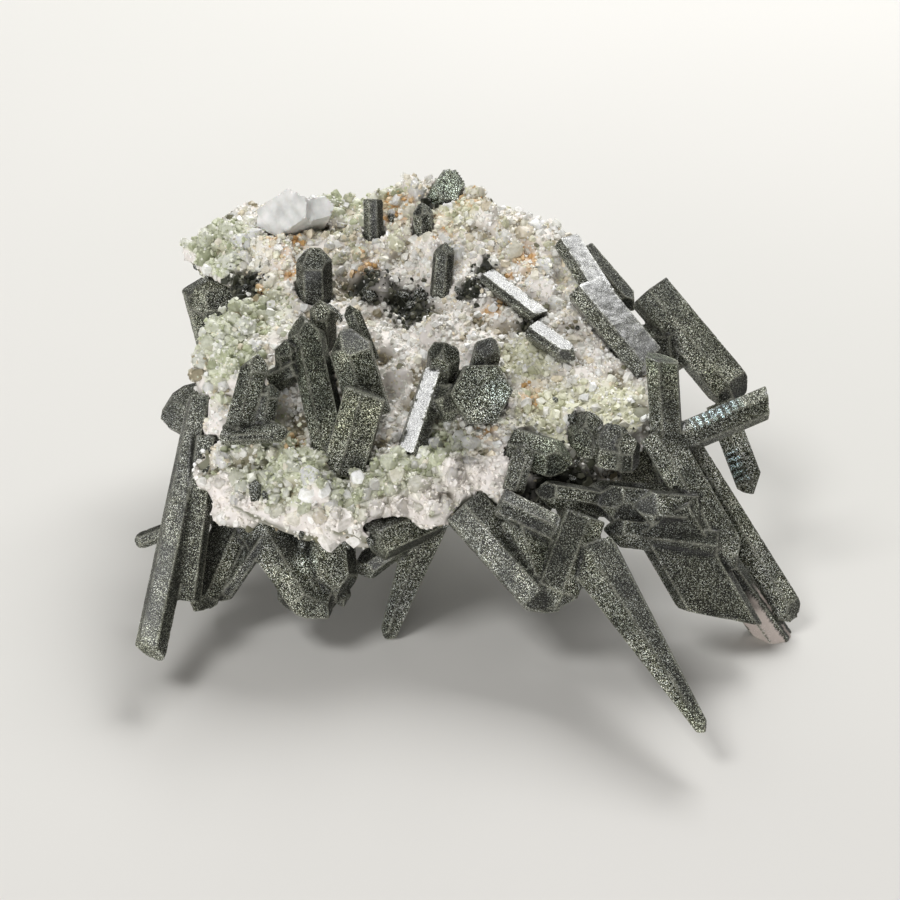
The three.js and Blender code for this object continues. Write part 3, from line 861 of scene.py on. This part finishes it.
def grain_colours(rng, places, up, under):
    """A colour for each grain by where it lies: green, stained, dark, bleached, or white and cream. The
    darker tones in the hollows and the near-black ones in the pits are painted shade.
    """
    count = len(places)
    white = rng.random((count, 1)) < 0.8
    colours = np.where(white, pick(rng, WHITE_TONES, count), pick(rng, CREAM_TONES, count))
    for chance, tones in (
        # Painted shade, partly dirt: darker grains in the hollows.
        (np.clip(1.3 * up * hollows(places), 0, 0.6), HOLLOW_TONES),
        (0.85 * up * share(places, GREEN_PATCHES), GREEN_TONES),
        (0.70 * up * share(places, OLIVE_PATCHES), OLIVE_TONES),
        (0.55 * up * share(places, LUMPY_PATCHES), CREAM_TONES + OLIVE_TONES[:2]),
        (0.45 * up * stain_share(places), STAIN_TONES),
        # Painted shade: near-black grains in the shaded pits.
        (0.92 * share(places, SHADED_PIT_PATCHES), PIT_SHADE_TONES),
        (0.80 * (under > 0.7), HOLLOW_TONES),
    ):
        chosen = rng.random(count) < chance
        colours[chosen] = pick(rng, tones, chosen.sum())
    bleached = 0.9 * share(places, BAND_PATCHES) * (under < 0.5)
    return colours + (BAND_TONE - colours) * bleached[:, None]


def grains(name, ground, rng, material, forms, density, size, lift, spacing):
    """A piece of many grains set into the crust, each raised by a share of its size. Sizes are in mm."""
    places, sizes, owners = ground.scatter(rng, density, size, spacing)
    count = len(places)
    picks = rng.integers(len(forms), size=count)
    shapes = sizes[:, None] * rng.uniform(0.8, 1.2, (count, 3))
    colours = grain_colours(rng, places, ground.up[owners], ground.under[owners])
    raised = places + ground.normals[owners] * (sizes * rng.uniform(*lift, count))[:, None]
    mesh = joined(name, forms, picks, raised, turns(rng, count), shapes, colours)
    smooth_by_angle(mesh, GRAIN_SMOOTH)
    return show(name, mesh, material, "crust")


def small_crystals(ground, rng, material):
    """Short dark crystals that stand in the crust between the big ones."""
    # More small dark crystals stand in the shaded pits, as part of the painted shade there.
    pits = share(ground.middles, SHADED_PIT_PATCHES) * ground.up
    density = 0.0015 * ground.up + 0.05 * pits + 0.05 * (ground.under > 0.8)
    places, sizes, owners = ground.scatter(rng, density, SMALL_WIDTHS, SMALL_SPACING)
    rotations = standing(rng, ground.normals[owners], SMALL_LEAN)
    count = len(places)
    forms = [prism_form(rng) for _ in range(8)]
    picks = rng.integers(len(forms), size=count)
    widths = rng.uniform(0.7, 1.2, (count, 2))
    lengths = rng.uniform(0.6, 1.1, count)
    shapes = sizes[:, None] * np.column_stack((widths, lengths))
    colours = np.ones((count, 3)) * rng.uniform(0.8, 1.6, (count, 1))
    mesh = joined("small_crystals", forms, picks, places, rotations, shapes, colours)
    set_value(mesh, "gloss", np.full(len(mesh.vertices), ETCHED_GLOSS))
    return show("small_crystals", mesh, material, "dark_quartz")


def pale_block(material):
    """The big pale cleavage block at the back, its steps left faint."""
    mesh = remeshed("pale_block", BLOCK_CELL)
    points = points_of(mesh)
    normals = normals_of(mesh)
    edges, distances = nearest_points(points, edge_points("pale_block", True))
    on_edge = distances < EDGE_SNAP
    points[on_edge] = edges[on_edge]
    wobble = CLEAVAGE_WOBBLE * waves(points, CLEAVAGE_WOBBLE_WAVE)
    rank = points @ CLEAVAGE_ACROSS / CLEAVAGE_PITCH + wobble
    relief = waves(points, BLOCK_WAVE) * BLOCK_HEIGHT - rank % 1 * CLEAVAGE_STEP
    relief[on_edge] = -np.abs(relief[on_edge])
    set_points(mesh, points + normals * relief[:, None])
    smooth_by_angle(mesh, CRYSTAL_SMOOTH)
    return show("pale_cleavage_block", mesh, material, "pale_block", "pale_block")


# Studio

def area_light(name, place, size, power):
    """A soft light with four corners, turned towards the object."""
    light = bpy.data.lights.new(name, "AREA")
    light.shape = "RECTANGLE"
    light.size, light.size_y = size
    light.energy = power
    lamp = bpy.data.objects.new(name, light)
    lamp.location = place
    lamp.rotation_euler = (VIEW_TARGET - Vector(place)).to_track_quat("-Z", "Y").to_euler()
    bpy.context.scene.collection.objects.link(lamp)
    return lamp


def studio():
    """A pale floor, the soft lights and a pale room for fill."""
    scene = bpy.context.scene
    world = bpy.data.worlds.new("studio")
    world.use_nodes = True
    sky = world.node_tree.nodes["Background"]
    sky.inputs["Color"].default_value = SKY_COLOUR
    sky.inputs["Strength"].default_value = SKY_STRENGTH
    scene.world = world
    scene.view_settings.view_transform = "Standard"
    corners = [(x * FLOOR_HALF, y * FLOOR_HALF, 0) for x, y in ((-1, -1), (1, -1), (1, 1), (-1, 1))]
    floor = bpy.data.meshes.new("floor")
    floor.from_pydata(corners, [], [(0, 1, 2, 3)])
    floor.materials.append(studio_floor())
    sheet = bpy.data.objects.new("floor", floor)
    scene.collection.objects.link(sheet)
    for name, place, size, power in LIGHTS:
        area_light(name, place, size, power)


def camera():
    """The camera at the photograph's place."""
    lens = bpy.data.cameras.new("camera")
    lens.lens = LENS_MM
    lens.sensor_width = SENSOR_MM
    lens.clip_start = 0.01
    eye = bpy.data.objects.new("camera", lens)
    back = Vector((0, -math.cos(VIEW_ELEVATION), math.sin(VIEW_ELEVATION)))
    eye.location = VIEW_TARGET + back * VIEW_DISTANCE
    eye.rotation_euler = (-back).to_track_quat("-Z", "Y").to_euler()
    bpy.context.scene.collection.objects.link(eye)
    bpy.context.scene.camera = eye


def dress():
    """Every piece of the object."""
    rng = np.random.default_rng(SEED)
    dark = dark_quartz()
    dark_nodes = [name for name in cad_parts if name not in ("crust", "pale_block")]
    for node in dark_nodes:
        dark_crystal(node, dark)
    pale_block(cleavage())
    base = crust_base(crust_stone())
    ground = Ground(base, dark_nodes + ["pale_block"])
    green = share(ground.middles, GREEN_PATCHES) * ground.up
    lumpy = share(ground.middles, LUMPY_PATCHES) * ground.up
    rim = 1 - ground.up - ground.under
    band = rim * (ground.middles[:, 1] < BAND_BACK)
    clear = pale_grain("clear_grain", 0.35, 0.3)
    milky = pale_grain("milky_grain", 0.08, 0.0)
    sugar = pale_grain("sugar_grain", 0.0, 0.0)
    big_forms = [grain_form(rng, 11, 0.05) for _ in range(16)]
    mid_forms = [grain_form(rng, 12, 0) for _ in range(12)]
    small_forms = [grain_form(rng, 9, 0) for _ in range(12)]
    band_forms = [grain_form(rng, 28, 0) for _ in range(8)]
    small_crystals(ground, rng, dark)
    big_density = 0.22 * green + 0.1 * lumpy
    mounds = grains("big_grains", ground, rng, clear, big_forms, big_density, **BIG_GRAINS)
    grains("band_lumps", ground, rng, sugar, band_forms, 0.16 * band, **BAND_LUMPS)
    middle_density = 0.4 * ground.up + 0.3 * green
    grains("middle_grains", ground, rng, milky, mid_forms, middle_density, **MIDDLE_GRAINS)
    small_density = 2.6 * ground.up + 1.2 * rim
    grains("small_grains", ground, rng, sugar, small_forms, small_density, **SMALL_GRAINS)
    ground.grow(mounds)
    grains("druse_grains", ground, rng, milky, small_forms, 1.1 * ground.grown, **DRUSE_GRAINS)


dress()
studio()
camera()
